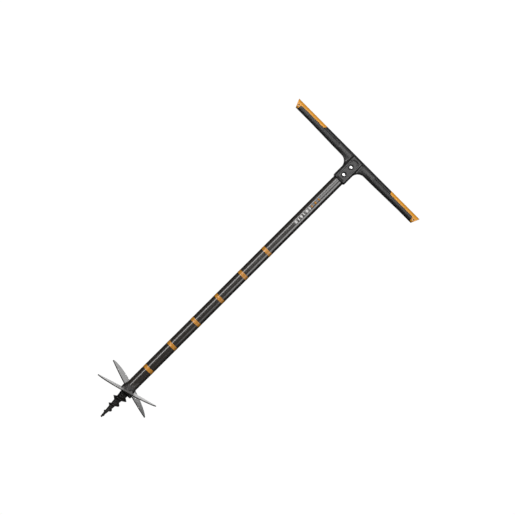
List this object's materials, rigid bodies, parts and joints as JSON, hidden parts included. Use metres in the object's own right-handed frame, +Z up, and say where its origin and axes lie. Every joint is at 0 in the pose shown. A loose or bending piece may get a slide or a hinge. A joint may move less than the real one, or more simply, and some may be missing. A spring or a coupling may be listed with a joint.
{
  "type": "hand earth auger",
  "caption": "T-handled steel shaft with a depth scale, ending in sloping crescent blades bolted above a tapered screw point; turned by hand to bore and loosen soil.",
  "frame": {"origin": "tip of the screw point, on the shaft's axis, at the middle of the footprint", "axes": "+Z up the shaft to the handle, X along the handle, -Y towards the front (the side with the bolt heads)"},
  "size_m": [0.512, 0.2068, 1.096],
  "materials": {
    "handle_black": "satin moulded",
    "grip_orange": "smooth moulded",
    "grip_rubber": "soft matt",
    "plug_plastic": "plain",
    "tube_graphite": "gloss powder coat",
    "mark_orange": "printed",
    "print_white": "printed",
    "cast_black": "satin paint on casting",
    "blade_steel": "ground",
    "bolt_zinc": "zinc plated",
    "bolt_black": "blackened steel"
  },
  "bodies": {
    "root": {"blade_bolt_front_left": "bolt_black", "blade_bolt_front_right": "bolt_black", "blade_bolt_rear_left": "bolt_black", "blade_bolt_rear_right": "bolt_black", "blade_front": "blade_steel", "blade_rear": "blade_steel", "blade_washer_front_left": "bolt_black", "blade_washer_front_right": "bolt_black", "blade_washer_rear_left": "bolt_black", "blade_washer_rear_right": "bolt_black", "depth_mark_200": "mark_orange", "depth_mark_300": "mark_orange", "depth_mark_400": "mark_orange", "depth_mark_500": "mark_orange", "depth_mark_600": "mark_orange", "depth_mark_700": "mark_orange", "grip_insert_left": "grip_orange", "grip_insert_right": "grip_orange", "grip_pad_left": "grip_rubber", "grip_pad_right": "grip_rubber", "handle_body": "handle_black", "handle_bolt_lower": "bolt_zinc", "handle_bolt_upper": "bolt_zinc", "handle_nut_lower": "bolt_zinc", "handle_nut_upper": "bolt_zinc", "hub_casting": "cast_black", "hub_rivet_1": "bolt_zinc", "hub_rivet_2": "bolt_zinc", "screw_cross_pin": "bolt_zinc", "screw_point": "cast_black", "shaft_tube": "tube_graphite", "tube_top_plug": "plug_plastic"}
  },
  "joints": []
}
